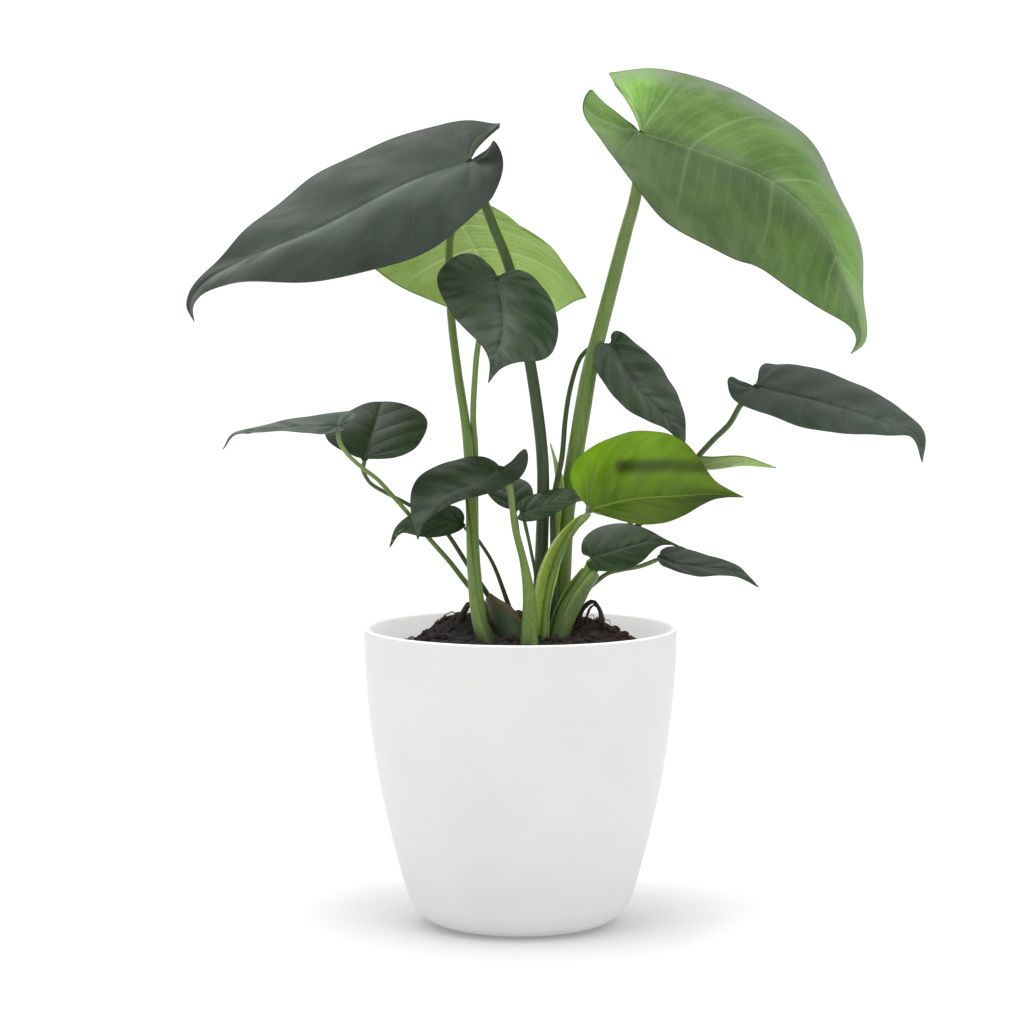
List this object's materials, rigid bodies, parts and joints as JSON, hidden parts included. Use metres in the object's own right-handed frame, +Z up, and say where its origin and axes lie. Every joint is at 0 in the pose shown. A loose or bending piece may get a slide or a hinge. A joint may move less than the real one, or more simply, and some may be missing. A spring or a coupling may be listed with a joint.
{
  "type": "potted monstera",
  "caption": "Young monstera with heart-shaped leaves on arching stalks, growing from a mound of soil in a round tapered white plastic pot.",
  "frame": {"origin": "on the pot's axis, on the plane that the pot stands on", "axes": "+Z up along the pot's axis, +X to the right as seen from the front, -Y towards a person in front of the plant"},
  "size_m": [0.4202, 0.197, 0.4931],
  "materials": {
    "pot_plastic": "satin",
    "potting_soil": "matte",
    "leaf_dark": "satin",
    "leaf_mid": "satin",
    "leaf_young": "satin",
    "stalk_green": "satin",
    "dry_sheath": "matte"
  },
  "bodies": {
    "root": {"pot": "pot_plastic", "soil": "potting_soil", "leaf_tall_left": "leaf_dark", "petiole_tall_left": "stalk_green", "leaf_tall_back": "leaf_young", "petiole_tall_back": "stalk_green", "leaf_heart_front": "leaf_dark", "petiole_heart_front": "stalk_green", "leaf_tall_right": "leaf_mid", "petiole_tall_right": "stalk_green", "leaf_mid_right": "leaf_dark", "petiole_mid_right": "stalk_green", "leaf_far_right": "leaf_dark", "petiole_far_right": "stalk_green", "leaf_bright_right": "leaf_young", "petiole_bright_right": "stalk_green", "leaf_edge_right": "leaf_young", "petiole_edge_right": "stalk_green", "leaf_low_right": "leaf_dark", "petiole_low_right": "stalk_green", "leaf_lowest_right": "leaf_dark", "petiole_lowest_right": "stalk_green", "leaf_low_left": "leaf_dark", "petiole_low_left": "stalk_green", "leaf_small_left": "leaf_dark", "petiole_small_left": "stalk_green", "leaf_round_left": "leaf_dark", "petiole_round_left": "stalk_green", "leaf_far_left": "leaf_dark", "petiole_far_left": "stalk_green", "leaf_small_back": "leaf_dark", "petiole_small_back": "stalk_green", "leaf_small_centre": "leaf_dark", "petiole_small_centre": "stalk_green", "old_sheath": "dry_sheath", "root_loop": "dry_sheath", "root_stub": "dry_sheath"}
  },
  "joints": []
}
